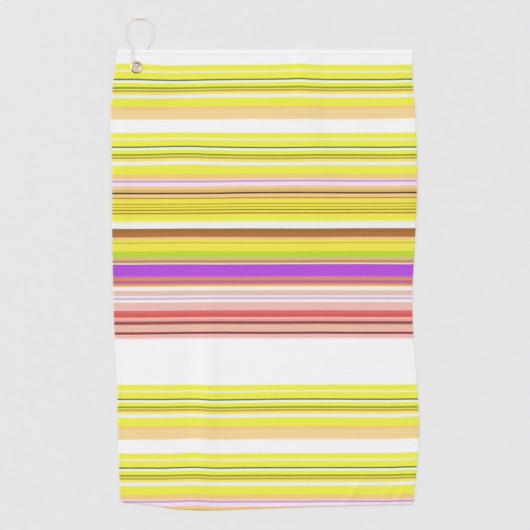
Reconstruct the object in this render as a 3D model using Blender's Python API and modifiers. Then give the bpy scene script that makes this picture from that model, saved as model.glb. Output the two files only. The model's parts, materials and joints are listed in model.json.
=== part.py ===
# Golf towel: a hemmed waffle cloth lying face up, with a brass grommet in its upper left corner
# and a ball chain through the grommet, closed by a slotted clasp.
# Metres, +Z up. +Y runs along the towel towards the chain, +X to the right of the face.

import math

import bmesh
import bpy
import numpy as np
from mathutils import Vector

MM = 0.001

# Cloth
TOWEL_WIDTH = 406 * MM
TOWEL_LENGTH = 610 * MM
CLOTH_THICKNESS = 1.6 * MM
HEM_WIDTH = 5 * MM
THREAD_DIAMETER = 0.5 * MM
CORNER_ROUNDING = 8 * MM  # the cloth's two lower corners

# Grommet
GROMMET_FROM_LEFT = 29 * MM
GROMMET_FROM_TOP = 22.6 * MM
HOLE_DIAMETER = 9.5 * MM
FLANGE_DIAMETER = 16.7 * MM
FLANGE_HEIGHT = 0.9 * MM
BARREL_WALL = 0.35 * MM
WASHER_DIAMETER = 15.8 * MM
WASHER_THICKNESS = 0.4 * MM

# Ball chain
BALL_DIAMETER = 2.4 * MM
BALL_PITCH = 3.5 * MM
PIN_DIAMETER = 0.6 * MM
SOCKET_DIAMETER = 1.4 * MM
SOCKET_DEPTH = 0.8 * MM
PIN_PLAY = 0.55 * MM  # from a pin's end to the bottom of the socket that it goes into
FREE_PITCHES = 13  # pitches from the clasp down to the towel's edge, on each side
LOOP_OFFSET = 4.3 * MM  # the loop's middle lies this far to the right of the grommet's
SHOULDER_RADIUS = 12 * MM  # the tighter bend beside the clasp
SHOULDER_BEND = math.radians(50)
NECK_HALF_WIDTH = 12.4 * MM
NECK_CLEARANCE = 8.0 * MM  # from the towel's top edge to the first pair of free balls
NECK_LEAN = math.radians(33)  # how far the loop's straight sides lean out
STRAND_OFFSET = 6.0 * MM  # the strand on the face lies this far to the left of the grommet's middle

# Clasp
CLASP_WALL = 0.3 * MM
SEAT_OFFSET = 2.6 * MM  # each end ball sits this far from the clasp's middle
SLOT_CLEARANCE = 0.1 * MM  # on each side of a ball that passes the slot
SETTLING_PITCHES = 4  # the chain comes down from the clasp's height to the ground over these

GAP = 0.3 * MM  # between neighbouring pieces
SIDES_ROUND = 24  # facets round the grommet
SIDES_BALL = 8
SIDES_CLASP = 16

BALL_RADIUS = BALL_DIAMETER / 2
PIN_REACH = BALL_PITCH - BALL_DIAMETER + SOCKET_DEPTH - PIN_PLAY  # how far a pin stands out of its ball
CLASP_BORE = BALL_RADIUS + GAP
CLASP_RADIUS = CLASP_BORE + CLASP_WALL
CLASP_HALF_LENGTH = SEAT_OFFSET + BALL_RADIUS + GAP + CLASP_WALL

# The stack of pieces at the grommet, from the ground up: chain, rolled barrel, washer, cloth, flange.
ROLL_BOTTOM = BALL_DIAMETER + GAP
WASHER_BOTTOM = ROLL_BOTTOM + BARREL_WALL + GAP
CLOTH_BOTTOM = WASHER_BOTTOM + WASHER_THICKNESS + GAP
CLOTH_TOP = CLOTH_BOTTOM + CLOTH_THICKNESS
FLANGE_BOTTOM = CLOTH_TOP + GAP
FLANGE_TOP = FLANGE_BOTTOM + FLANGE_HEIGHT
FRONT_STRAND = FLANGE_TOP + GAP + BALL_RADIUS
BACK_STRAND = BALL_RADIUS
BARREL_RADIUS = HOLE_DIAMETER / 2 + BARREL_WALL

# How the laid cloth departs from a rectangle, down its length: the share of the length from the top,
# how far its middle drifts to the right, and how much of its width the ripples take up.
EDGE_SHAPE = (
    (0.00, -1.0 * MM, 18.0 * MM),
    (0.05, -2.4 * MM, 10.0 * MM),
    (0.11, -2.9 * MM, 3.0 * MM),
    (0.27, -0.6 * MM, 0.5 * MM),
    (0.44, -2.2 * MM, 4.0 * MM),
    (0.53, -3.1 * MM, 8.0 * MM),
    (0.62, -1.8 * MM, 8.6 * MM),
    (0.71, 2.0 * MM, 8.2 * MM),
    (0.83, 4.4 * MM, 5.0 * MM),
    (1.00, 2.2 * MM, 16.0 * MM),
)
# Across the width: the share from the left, and how much of the length is taken up there.
LENGTH_SHAPE = (
    (0.00, 9.0 * MM),
    (0.10, 5.5 * MM),
    (0.22, 1.0 * MM),
    (0.30, 0.0 * MM),
    (0.42, 0.6 * MM),
    (0.65, 3.5 * MM),
    (0.90, 5.0 * MM),
    (1.00, 5.5 * MM),
)
# Soft ripples in the laid cloth: share of the width at their upper and lower end, share of the
# length where they start and stop, height and half width.
RIPPLES = (
    (0.62, 0.70, -0.10, 0.30, 3.5 * MM, 20 * MM),
    (0.32, 0.28, 0.50, 1.00, 4.5 * MM, 25 * MM),
    (0.95, 0.97, 0.10, 0.42, 3.0 * MM, 24 * MM),
    (0.02, 0.03, 0.16, 0.50, 3.0 * MM, 22 * MM),
)
PAD_FALL = 55 * MM  # the raised corner comes down to the ground over this distance
PAD_MARGIN = 3 * MM  # flat cloth round the flange


def clear_scene():
    for old in list(bpy.data.objects):
        bpy.data.objects.remove(old)


def new_collection(name):
    made = bpy.data.collections.new(name)
    bpy.context.scene.collection.children.link(made)
    return made


def new_material(name, colour, roughness, metallic):
    made = bpy.data.materials.new(name)
    made.use_nodes = True
    shader = made.node_tree.nodes["Principled BSDF"]
    shader.inputs["Base Color"].default_value = (*colour, 1.0)
    shader.inputs["Roughness"].default_value = roughness
    shader.inputs["Metallic"].default_value = metallic
    return made


def add_part(name, mesh, material, place=(0, 0, 0)):
    part = bpy.data.objects.new(name, mesh)
    if not mesh.materials:
        mesh.materials.append(material)
    part.location = place
    part.parent = stand
    parts.objects.link(part)
    return part


def add_cutter(name, mesh, place, direction=None):
    cutter = bpy.data.objects.new(name, mesh)
    cutter.location = place
    if direction is not None:
        cutter.rotation_mode = "QUATERNION"
        cutter.rotation_quaternion = Vector(direction).to_track_quat("Z", "Y")
    cutter.hide_render = True
    cutter.display_type = "WIRE"
    cutter.parent = stand
    cutters.objects.link(cutter)
    return cutter


def cut(part, cutter):
    boolean = part.modifiers.new(cutter.name, "BOOLEAN")
    boolean.operation = "DIFFERENCE"
    boolean.object = cutter
    return boolean


def cylinder_mesh(name, radius, length, sides):
    """A closed cylinder along Z, centred on its own origin."""
    made = bpy.data.meshes.new(name)
    shape = bmesh.new()
    bmesh.ops.create_cone(
        shape, cap_ends=True, segments=sides, radius1=radius, radius2=radius, depth=length
    )
    shape.to_mesh(made)
    shape.free()
    return made


def box_mesh(name, size):
    """A box of the given size, centred on its own origin."""
    made = bpy.data.meshes.new(name)
    shape = bmesh.new()
    bmesh.ops.create_cube(shape, size=1.0)
    bmesh.ops.scale(shape, vec=size, verts=shape.verts)
    shape.to_mesh(made)
    shape.free()
    return made


def profile_mesh(name, profile, closed):
    """The edges of a turned shape's profile, as (radius, height) pairs."""
    made = bpy.data.meshes.new(name)
    count = len(profile)
    edges = [(i, i + 1) for i in range(count - 1)]
    if closed:
        edges.append((count - 1, 0))
    made.from_pydata([(radius, 0.0, height) for radius, height in profile], edges, [])
    return made


def turn(part, sides):
    screw = part.modifiers.new("turned", "SCREW")
    screw.axis = "Z"
    screw.angle = math.tau
    screw.steps = sides
    screw.render_steps = sides
    screw.use_merge_vertices = True
    screw.merge_threshold = 0.00001
    screw.use_smooth_shade = True
    return screw


def read_curve(rows, column, at):
    """One column of a table at a share, on a smooth curve through its rows."""
    shares = np.array([row[0] for row in rows])
    values = np.array([row[column] for row in rows])
    slopes = np.gradient(values, shares)
    low = int(np.clip(np.searchsorted(shares, at) - 1, 0, len(rows) - 2))
    span = shares[low + 1] - shares[low]
    t = (at - shares[low]) / span
    return (
        (2 * t**3 - 3 * t**2 + 1) * values[low]
        + (t**3 - 2 * t**2 + t) * span * slopes[low]
        + (3 * t**2 - 2 * t**3) * values[low + 1]
        + (t**3 - t**2) * span * slopes[low + 1]
    )


def smooth_step(share):
    share = min(max(share, 0.0), 1.0)
    return share * share * (3 - 2 * share)


def cloth_place(across, down):
    """Where a point of the flat cloth lies in plan, from its distances to the left and top edge.
    The towel's top edge lies along y = 0."""
    share = down / TOWEL_LENGTH
    drift = read_curve(EDGE_SHAPE, 1, share)
    narrowing = read_curve(EDGE_SHAPE, 2, share)
    shortening = read_curve(LENGTH_SHAPE, 1, across / TOWEL_WIDTH)
    width = TOWEL_WIDTH - narrowing
    x = drift + width * (across / TOWEL_WIDTH - 0.5)
    y = -down * (TOWEL_LENGTH - shortening) / TOWEL_LENGTH
    return x, y


def grommet_middle():
    return cloth_place(GROMMET_FROM_LEFT, GROMMET_FROM_TOP)


def pad_lift(x, y):
    """How high the corner stands on the grommet's back and on the chain under it."""
    middle_x, middle_y = grommet_middle()
    reach = FLANGE_DIAMETER / 2 + PAD_MARGIN
    right = middle_x + LOOP_OFFSET + NECK_HALF_WIDTH + BALL_RADIUS
    beside = max(middle_x - reach - x, x - right, 0.0)
    below = max(middle_y - reach - y, 0.0)
    return CLOTH_BOTTOM * (1 - smooth_step(math.hypot(beside, below) / PAD_FALL))


def ripple_lift(across, down):
    lift = 0.0
    for upper, lower, start, stop, height, half_width in RIPPLES:
        along = (down / TOWEL_LENGTH - start) / (stop - start)
        if not 0 < along < 1:
            continue
        middle = (upper + (lower - upper) * along) * TOWEL_WIDTH
        off = abs(across - middle) / half_width
        if off < 1:
            lift += height * math.sin(math.pi * along) * (1 + math.cos(math.pi * off)) / 2
    return lift


def cloth_underside(across, down):
    x, y = cloth_place(across, down)
    pad = pad_lift(x, y)
    return x, y, max(pad, ripple_lift(across, down) * (1 - pad / CLOTH_BOTTOM))


def grid_lines(total, near, spacing):
    """Distances from an edge: the ones in near, then even steps, and the far hem."""
    far = total - HEM_WIDTH
    steps = max(round((far - near[-1]) / spacing), 1)
    even = [near[-1] + (far - near[-1]) * i / steps for i in range(1, steps)]
    return [0.0, *near, *even, far, total]


def round_corner(x, y, across, down):
    """Pulls the cloth's lower corner vertices in, which rounds the two corners."""
    side = min(across, TOWEL_WIDTH - across)
    bottom = TOWEL_LENGTH - down
    if side + bottom < HEM_WIDTH / 2:
        inward = CORNER_ROUNDING * (1 - math.sqrt(0.5))
        x += inward if across < TOWEL_WIDTH / 2 else -inward
        y += inward
    return x, y


def make_towel_panel():
    reach = FLANGE_DIAMETER / 2 + PAD_MARGIN
    columns = grid_lines(
        TOWEL_WIDTH,
        (HEM_WIDTH, GROMMET_FROM_LEFT - reach, GROMMET_FROM_LEFT + reach, GROMMET_FROM_LEFT + 2 * reach),
        21 * MM,
    )
    rows = grid_lines(
        TOWEL_LENGTH,
        (HEM_WIDTH, GROMMET_FROM_TOP - reach, GROMMET_FROM_TOP + reach, GROMMET_FROM_TOP + 2.4 * reach),
        25 * MM,
    )
    mesh = bpy.data.meshes.new("towel_panel")
    shape = bmesh.new()
    bmesh.ops.create_grid(shape, x_segments=len(columns) - 1, y_segments=len(rows) - 1, size=0.5)
    for vertex in shape.verts:
        across = columns[round((vertex.co.x + 0.5) * (len(columns) - 1))]
        down = rows[round((0.5 - vertex.co.y) * (len(rows) - 1))]
        x, y, z = cloth_underside(across, down)
        vertex.co = (*round_corner(x, y, across, down), z)
    shape.to_mesh(mesh)
    shape.free()
    panel = add_part("towel_panel", mesh, cloth_material)
    thick = panel.modifiers.new("cloth", "SOLIDIFY")
    thick.thickness = CLOTH_THICKNESS
    thick.offset = 1.0
    hole_radius = BARREL_RADIUS + GAP
    hole = cylinder_mesh("cloth_hole", hole_radius, 4 * CLOTH_THICKNESS, SIDES_ROUND)
    middle = (*grommet_middle(), CLOTH_BOTTOM + CLOTH_THICKNESS / 2)
    cut(panel, add_cutter("cloth_hole", hole, middle))
    return columns, rows


def make_thread(name, stops):
    """A run of stitches on the cloth's face, along a list of (across, down) stops."""
    curve = bpy.data.curves.new(name, "CURVE")
    curve.dimensions = "3D"
    curve.bevel_depth = THREAD_DIAMETER / 2
    curve.bevel_resolution = 0
    curve.use_fill_caps = True
    line = curve.splines.new("POLY")
    line.points.add(len(stops) - 1)
    rise = CLOTH_THICKNESS + GAP + THREAD_DIAMETER
    for point, (across, down) in zip(line.points, stops):
        x, y, z = cloth_underside(across, down)
        point.co = (x, y, z + rise, 1.0)
    part = bpy.data.objects.new(name, curve)
    curve.materials.append(thread_material)
    part.parent = stand
    parts.objects.link(part)


def make_hem_threads(columns, rows):
    """One run along each hem's inner edge. Each starts and stops just short of its neighbours."""
    left, right = HEM_WIDTH, TOWEL_WIDTH - HEM_WIDTH
    top, bottom = HEM_WIDTH, TOWEL_LENGTH - HEM_WIDTH
    short = THREAD_DIAMETER + GAP
    across_stops = [left + short, *[c for c in columns if left < c < right], right - short]
    down_stops = [top + short, *[r for r in rows if top < r < bottom], bottom - short]
    make_thread("hem_thread_top", [(c, top) for c in across_stops])
    make_thread("hem_thread_bottom", [(c, bottom) for c in across_stops])
    make_thread("hem_thread_left", [(left, r) for r in down_stops])
    make_thread("hem_thread_right", [(right, r) for r in down_stops])


def make_grommet():
    """The eyelet is one turned sheet: its flange curls over the cloth, its barrel goes through the
    hole and the washer, and its end is rolled out under the washer."""
    place = (*grommet_middle(), 0.0)
    bore = HOLE_DIAMETER / 2
    rim = FLANGE_DIAMETER / 2
    crown = bore + (rim - bore) * 0.45
    roll = BARREL_RADIUS + 1.2 * MM
    wall = BARREL_WALL
    outside = [
        (crown, FLANGE_TOP),
        (rim - wall, FLANGE_TOP - 0.35 * FLANGE_HEIGHT),
        (rim, FLANGE_BOTTOM),
        (rim - wall, FLANGE_BOTTOM),
        (rim - 2 * wall, FLANGE_TOP - 0.35 * FLANGE_HEIGHT - wall),
        (crown, FLANGE_TOP - wall),
        (BARREL_RADIUS, FLANGE_BOTTOM),
        (BARREL_RADIUS, ROLL_BOTTOM + wall),
        (roll, ROLL_BOTTOM + wall),
        (roll, ROLL_BOTTOM),
        (BARREL_RADIUS, ROLL_BOTTOM),
        (bore, ROLL_BOTTOM + wall),
        (bore, FLANGE_BOTTOM),
        (bore + wall, FLANGE_TOP - wall),
    ]
    eyelet = add_part("grommet_eyelet", profile_mesh("grommet_eyelet", outside, True), brass_material, place)
    turn(eyelet, SIDES_ROUND)
    inner = BARREL_RADIUS + GAP
    outer = WASHER_DIAMETER / 2
    low, high = WASHER_BOTTOM, WASHER_BOTTOM + WASHER_THICKNESS
    ring = [(outer, high), (outer, low), (inner, low), (inner, high)]
    washer = add_part("grommet_washer", profile_mesh("grommet_washer", ring, True), brass_material, place)
    turn(washer, SIDES_ROUND)


def loop_radius():
    """The radius of the loop's long bend, which the length of free chain and the neck set."""
    free = SEAT_OFFSET + FREE_PITCHES * BALL_PITCH - CLASP_HALF_LENGTH - SHOULDER_RADIUS * SHOULDER_BEND
    shoulder = CLASP_HALF_LENGTH + SHOULDER_RADIUS * math.sin(SHOULDER_BEND)
    lean = math.sin(NECK_LEAN)
    bend = math.pi / 2 + NECK_LEAN - SHOULDER_BEND
    return (NECK_HALF_WIDTH - shoulder + free * lean) / (
        math.cos(NECK_LEAN) - math.sin(SHOULDER_BEND) + bend * lean
    )


def free_side(distance):
    """A point of the loop's right half, by its distance along the chain from the clasp's middle:
    straight through the clasp, round a tight bend and a wide one, then straight down to the neck.
    Measured from the loop's top middle."""
    x, y, heading = 0.0, 0.0, 0.0
    left = distance
    turned = math.pi / 2 + NECK_LEAN
    bends = ((SHOULDER_RADIUS, SHOULDER_BEND), (loop_radius(), turned - SHOULDER_BEND))
    x += min(left, CLASP_HALF_LENGTH)
    left -= CLASP_HALF_LENGTH
    for radius, bend in bends:
        if left > 0:
            angle = min(left / radius, bend)
            x += radius * (math.sin(heading + angle) - math.sin(heading))
            y += radius * (math.cos(heading + angle) - math.cos(heading))
            heading += angle
            left -= radius * bend
    if left > 0:
        x -= left * math.sin(NECK_LEAN)
        y -= left * math.cos(NECK_LEAN)
    return x, y


def loop_top():
    """The loop's top middle in plan, so that its neck comes out at its stated place."""
    middle_x, _ = grommet_middle()
    _, drop = free_side(SEAT_OFFSET + FREE_PITCHES * BALL_PITCH)
    return middle_x + LOOP_OFFSET, NECK_CLEARANCE - drop


def free_balls(side):
    """Centres of the free balls on one side (1 right, -1 left), from the clasp to the neck. The
    fatter clasp lies on the ground too, so it holds the first few balls up a little."""
    top_x, top_y = loop_top()
    centres = []
    for index in range(FREE_PITCHES + 1):
        distance = SEAT_OFFSET + index * BALL_PITCH
        x, y = free_side(distance)
        settled = smooth_step((distance - CLASP_HALF_LENGTH) / (SETTLING_PITCHES * BALL_PITCH))
        z = CLASP_RADIUS + (BACK_STRAND - CLASP_RADIUS) * settled
        centres.append(Vector((top_x + side * x, top_y + y, z)))
    return centres


def held_route(left_neck, right_neck):
    """The chain's way between the two necks: up over the towel's edge, along its face, over the
    flange, down through the hole, and back under the cloth."""
    middle_x, middle_y = grommet_middle()
    edge = -middle_y  # from the grommet's middle up to the towel's top edge
    throat = HOLE_DIAMETER / 2 - BALL_RADIUS - GAP
    halfway = (FRONT_STRAND + BACK_STRAND) / 2
    rim = FLANGE_DIAMETER / 2
    strand = -STRAND_OFFSET
    lead = left_neck.x - middle_x - strand
    trail = right_neck.x - middle_x
    route = [
        (strand + lead * 0.50, edge + 5.6 * MM, BACK_STRAND + 1.4 * MM),
        (strand + lead * 0.18, edge + 2.6 * MM, CLOTH_TOP - 0.4 * MM),
        (strand, edge - 0.6 * MM, FRONT_STRAND - 0.5 * MM),
        (strand, edge - 4.0 * MM, FRONT_STRAND),
        (strand, edge * 0.55, FRONT_STRAND),
        (strand, rim * 0.9, FRONT_STRAND),
        (strand * 0.9, rim * 0.42, FRONT_STRAND),
        (-throat * 0.92, throat * 0.36, FRONT_STRAND - 0.8 * MM),
        (0.0, throat * 0.06, halfway),
        (throat * 0.84, throat * 0.32, BACK_STRAND + 0.7 * MM),
        (rim * 0.60, rim * 0.50, BACK_STRAND),
        (trail * 0.46, edge * 0.46, BACK_STRAND),
        (trail * 0.68, edge * 0.82, BACK_STRAND),
        (trail * 0.87, edge + 2.9 * MM, BACK_STRAND),
    ]
    placed = [Vector((middle_x + x, middle_y + y, z)) for x, y, z in route]
    return [left_neck, *placed, right_neck]


def smooth_path(points, steps=24):
    """A smooth curve through the points, as a dense list of points."""
    first = points[0] * 2 - points[1]
    last = points[-1] * 2 - points[-2]
    ends = [first, *points, last]
    path = []
    for a, b, c, d in zip(ends, ends[1:], ends[2:], ends[3:]):
        for step in range(steps):
            t = step / steps
            path.append(
                0.5 * (2 * b + (c - a) * t + (2 * a - 5 * b + 4 * c - d) * t**2
                       + (3 * b - a - 3 * c + d) * t**3)
            )
    return [*path, points[-1]]


def even_points(path, pitch):
    """Points along a path at even distances, as near to the pitch as fits, without its ends."""
    lengths = [0.0]
    for a, b in zip(path, path[1:]):
        lengths.append(lengths[-1] + (b - a).length)
    count = math.ceil(lengths[-1] / pitch)
    wanted = [lengths[-1] * i / count for i in range(1, count)]
    return [Vector([np.interp(w, lengths, [p[k] for p in path]) for k in range(3)]) for w in wanted]


def chain_centres():
    """Every ball's centre, from the clasp down the left side, through the grommet and back up."""
    left = free_balls(-1)
    right = free_balls(1)
    held = even_points(smooth_path(held_route(left[-1], right[-1])), BALL_PITCH)
    for centre in held:
        centre.z = max(centre.z, BACK_STRAND)
    return left + held + right[::-1]


def ball_profile(with_pin):
    """A ball and its pin, which points along +Z."""
    pin = PIN_DIAMETER / 2
    start = math.asin(pin / BALL_RADIUS) if with_pin else 0.0
    bands = 5
    points = []
    if with_pin:
        points += [(0.0, BALL_RADIUS + PIN_REACH), (pin, BALL_RADIUS + PIN_REACH)]
    for band in range(bands + 1):
        angle = start + (math.pi - start) * band / bands
        points.append((BALL_RADIUS * math.sin(angle), BALL_RADIUS * math.cos(angle)))
    points[-1] = (0.0, -BALL_RADIUS)
    return points


def make_chain():
    centres = chain_centres()
    linked = profile_mesh("chain_ball", ball_profile(True), False)
    last = profile_mesh("chain_end_ball", ball_profile(False), False)
    socket = cylinder_mesh("socket", SOCKET_DIAMETER / 2, 2 * SOCKET_DEPTH, SIDES_BALL)
    for index, centre in enumerate(centres):
        is_last = index == len(centres) - 1
        ball = add_part(f"chain_ball_{index + 1:02d}", last if is_last else linked, chain_material, centre)
        ball.rotation_mode = "QUATERNION"
        ahead = centre - centres[index - 1] if is_last else centres[index + 1] - centre
        ball.rotation_quaternion = ahead.to_track_quat("Z", "Y")
        turn(ball, SIDES_BALL)
        if index > 0:
            back = (centres[index - 1] - centre).normalized()
            name = f"socket_{index + 1:02d}"
            cut(ball, add_cutter(name, socket, centre + back * BALL_RADIUS, back))
    return centres


def make_clasp():
    """A tube along X over the two end balls, with a slot below that a ball can leave through and a
    notch in each end for the pin."""
    top_x, top_y = loop_top()
    place = Vector((top_x, top_y, CLASP_RADIUS))
    along_x = (1, 0, 0)
    inner_length = 2 * (CLASP_HALF_LENGTH - CLASP_WALL)
    tube = cylinder_mesh("chain_clasp", CLASP_RADIUS, 2 * CLASP_HALF_LENGTH, SIDES_CLASP)
    clasp = add_part("chain_clasp", tube, clasp_material, place)
    clasp.rotation_mode = "QUATERNION"
    clasp.rotation_quaternion = Vector(along_x).to_track_quat("Z", "Y")
    bore = cylinder_mesh("clasp_bore", CLASP_BORE, inner_length, SIDES_CLASP)
    cut(clasp, add_cutter("clasp_bore", bore, place, along_x))
    depth = 2 * CLASP_RADIUS
    slot = box_mesh("clasp_slot", (inner_length, BALL_DIAMETER + 2 * SLOT_CLEARANCE, depth))
    cut(clasp, add_cutter("clasp_slot", slot, place - Vector((0, 0, depth / 2))))
    notch_width = PIN_DIAMETER + 2 * GAP
    notch = box_mesh("clasp_notch", (3 * CLASP_HALF_LENGTH, notch_width, depth))
    cut(clasp, add_cutter("clasp_notch", notch, place - Vector((0, 0, (depth - notch_width) / 2))))


def centre_on_ground():
    """Moves the whole towel so that its box is centred over the origin."""
    bpy.context.view_layer.update()
    graph = bpy.context.evaluated_depsgraph_get()
    low = Vector((math.inf, math.inf))
    high = -low
    for part in parts.objects:
        shown = part.evaluated_get(graph)
        mesh = shown.to_mesh()
        for vertex in mesh.vertices:
            point = shown.matrix_world @ vertex.co
            low = Vector((min(low.x, point.x), min(low.y, point.y)))
            high = Vector((max(high.x, point.x), max(high.y, point.y)))
        shown.to_mesh_clear()
    middle = (low + high) / 2
    stand.location = (-middle.x, -middle.y, 0.0)
    bpy.context.view_layer.update()


clear_scene()
parts = new_collection("golf_towel")
cutters = new_collection("cutters")
stand = bpy.data.objects.new("towel_place", None)
bpy.context.scene.collection.objects.link(stand)

cloth_material = new_material("printed_cloth", (0.90, 0.84, 0.55), 0.9, 0.0)
thread_material = new_material("hem_thread", (0.93, 0.93, 0.93), 0.7, 0.0)
brass_material = new_material("grommet_brass", (0.83, 0.60, 0.30), 0.25, 1.0)
chain_material = new_material("chain_brass", (0.86, 0.72, 0.45), 0.28, 1.0)
clasp_material = new_material("clasp_brass", (0.88, 0.68, 0.42), 0.30, 1.0)

panel_columns, panel_rows = make_towel_panel()
make_hem_threads(panel_columns, panel_rows)
make_grommet()
ball_centres = make_chain()
make_clasp()
centre_on_ground()
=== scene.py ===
# Golf towel laid face up: striped waffle cloth, brass grommet, ball chain and clasp.
# Metres. +Y runs up the towel towards the chain, +X to the right of the printed face.
import json
import math
import random

import bmesh
import bpy
import numpy as np
from mathutils import Matrix, Vector


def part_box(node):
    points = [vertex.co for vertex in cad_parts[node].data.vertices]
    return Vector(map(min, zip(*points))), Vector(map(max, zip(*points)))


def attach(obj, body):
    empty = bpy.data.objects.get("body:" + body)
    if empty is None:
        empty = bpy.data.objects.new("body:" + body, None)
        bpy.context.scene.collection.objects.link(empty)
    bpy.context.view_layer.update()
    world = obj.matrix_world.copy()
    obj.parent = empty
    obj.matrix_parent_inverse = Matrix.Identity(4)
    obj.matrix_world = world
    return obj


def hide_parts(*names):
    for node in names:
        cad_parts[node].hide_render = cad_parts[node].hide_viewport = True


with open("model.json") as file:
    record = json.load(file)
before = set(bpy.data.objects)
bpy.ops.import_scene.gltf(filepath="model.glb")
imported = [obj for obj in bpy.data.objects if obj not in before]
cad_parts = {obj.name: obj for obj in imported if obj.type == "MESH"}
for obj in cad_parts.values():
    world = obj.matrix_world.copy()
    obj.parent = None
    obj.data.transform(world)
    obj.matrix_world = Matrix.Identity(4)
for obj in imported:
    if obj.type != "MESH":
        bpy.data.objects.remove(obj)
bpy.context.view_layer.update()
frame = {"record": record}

mm = 0.001
random.seed(24)

cloth = {
    "width": 406 * mm,
    "length": 610 * mm,
    "thickness": 1.6 * mm,
    "hem": 5.0 * mm,
    "cellsAcross": 83,      # waffle cells
    "cellsDown": 125,
    "cellDepth": 0.34 * mm,
    "cornerRounding": 7 * mm,
}
grommet = {
    "fromLeft": 29 * mm,
    "fromTop": 22.6 * mm,
    "hole": 9.5 * mm,
    "flange": 16.7 * mm,
    "flangeHeight": 0.9 * mm,
    "wall": 0.35 * mm,
    "washer": 15.8 * mm,
    "washerThickness": 0.4 * mm,
    "crownShare": 0.45,     # where the flange is highest, from its bore to its rim
    "throatDrop": 0.15 * mm,
    "rollReach": 1.2 * mm,  # how far the barrel is rolled out behind
    "rollRadius": 0.42 * mm,
    "clearance": 0.12 * mm,     # of the washer round the barrel
    "washerEdge": 0.12 * mm,
    "clothClearance": 0.1 * mm,
}
chain = {
    "ball": 2.4 * mm,
    "pitch": 3.5 * mm,
    "pin": 0.50 * mm,
    "pinHole": 1.28 * mm,   # wide enough for a pin that leans to its limit
    "pinSeat": 0.48 * mm,   # depth of the hollow that a pin's end turns in
    "pinInside": 0.75 * mm,     # of a pin's length, both ends together
    "freePitches": 13,
    "loopOffset": 4.3 * mm,
    "shoulderRadius": 12 * mm,
    "shoulderBend": math.radians(50),
    "neckHalfWidth": 12.4 * mm,
    "neckClearance": 8.0 * mm,
    "neckLean": math.radians(33),
    "strandOffset": 6.0 * mm,
    "settlingPitches": 4,
}
clasp = {
    "wall": 0.3 * mm,
    "seat": 2.6 * mm,       # each end ball from the clasp's middle
    "slotClearance": 0.1 * mm,
    "notch": 1.2 * mm,
    "rounding": 0.55 * mm,
    "bevel": 0.05 * mm,
}
facets = {"ring": 96, "clasp": 48, "ball": 24, "pin": 14}
gap = 0.3 * mm      # between neighbouring pieces

ballRadius = chain["ball"] / 2
claspBore = ballRadius + gap
claspRadius = claspBore + clasp["wall"]
claspHalf = clasp["seat"] + ballRadius + gap + clasp["wall"]
rollBottom = chain["ball"] + gap
washerBottom = rollBottom + grommet["wall"] + gap
clothBottom = washerBottom + grommet["washerThickness"] + gap
clothTop = clothBottom + cloth["thickness"]
flangeBottom = clothTop + gap
flangeTop = flangeBottom + grommet["flangeHeight"]
frontStrand = flangeTop + gap + ballRadius
barrelRadius = grommet["hole"] / 2 + grommet["wall"]
flangeRadius = grommet["flange"] / 2

# How the laid cloth departs from a rectangle: share of its length, drift to the right, narrowing.
edgeShape = np.array([
    (0.00, 1.0, 14.0), (0.05, -2.4, 10.0), (0.11, -2.9, 3.0), (0.27, -0.6, 0.5),
    (0.44, -2.2, 4.0), (0.53, -3.1, 8.0), (0.62, -1.8, 8.6), (0.71, 2.0, 8.2),
    (0.83, 4.4, 5.0), (1.00, 2.2, 16.0),
])
# Share of its width, how much of the length is taken up there.
lengthShape = np.array([
    (0.00, 9.0), (0.10, 5.0), (0.19, 0.0), (0.28, -1.8), (0.42, -0.2), (0.65, 2.8),
    (0.90, 5.0), (1.00, 5.5),
])
# How far the stripes sag, in tenths of a millimetre: a row for each distance down the towel in
# millimetres, a column for each share of its width.
sagRows = (0, 20, 38, 58, 85, 110, 138, 180, 215, 255, 290, 330, 365, 450, 470, 500, 545, 580, 605)
sagColumns = (0.06, 0.15, 0.20, 0.25, 0.34, 0.43, 0.52, 0.58, 0.62, 0.67, 0.72, 0.81, 0.91, 0.98)
sagTable = np.array([
    (-16, 6, 11, 5, 2, 0, -2, -10, -17, -7, 0, 0, 4, -2),
    (-12, 8, 12, 7, 3, 0, -2, -9, -14, -4, 0, 1, 4, -2),
    (3, 12, 16, 12, 6, 0, -1, -5, -9, -1, 4, 4, 5, -3),
    (17, 18, 16, 12, 4, 0, 0, -3, -4, 3, 6, 4, 4, -1),
    (11, 11, 11, 10, 6, 0, 0, 1, -1, 1, 6, 1, 0, -12),
    (1, -2, -8, -9, -1, 0, 0, 0, -1, 0, 0, -1, -1, -5),
    (-4, -11, -19, -21, -10, 0, 2, 2, -2, -5, -5, -5, -2, -6),
    (11, 11, 11, 11, 9, 0, -2, -4, -5, -4, -2, 1, 1, -2),
    (12, 11, 9, 7, 5, 0, 0, 1, 1, 1, 1, -2, -3, -4),
    (5, 1, -2, -4, -1, 0, 1, 1, 2, 1, 0, -3, -3, -3),
    (3, 1, 0, 0, 2, 0, -1, -3, -3, -4, -4, -4, -3, -1),
    (10, 9, 7, 3, 1, 0, -1, -1, -1, -1, -1, 0, 0, 1),
    (9, 5, 3, 0, -2, 0, 0, 0, -1, -3, -2, 0, 0, 0),
    (-3, 1, -3, -7, 3, 0, -5, -7, -7, -5, -7, -6, -5, -9),
    (-4, -2, -6, -8, 6, 0, -5, -9, -9, -9, -8, -5, -4, -8),
    (5, 5, -1, -9, 7, 0, -4, -4, -4, -4, -4, -1, -1, -11),
    (5, 7, 0, -8, 6, 0, -1, -1, -1, -1, -1, -2, -3, -13),
    (3, 3, -3, -10, 3, 0, -1, -1, -2, -4, -4, -4, -5, -17),
    (11, 9, 4, -4, 11, 8, 7, 6, 7, 4, 3, 2, 4, -6),
]) / 10
blendSpread = 0.62      # width of one stop's influence, as a share of the distance between stops
printStart = 0.10       # mm from the towel's edge to where the print is measured from
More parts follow.
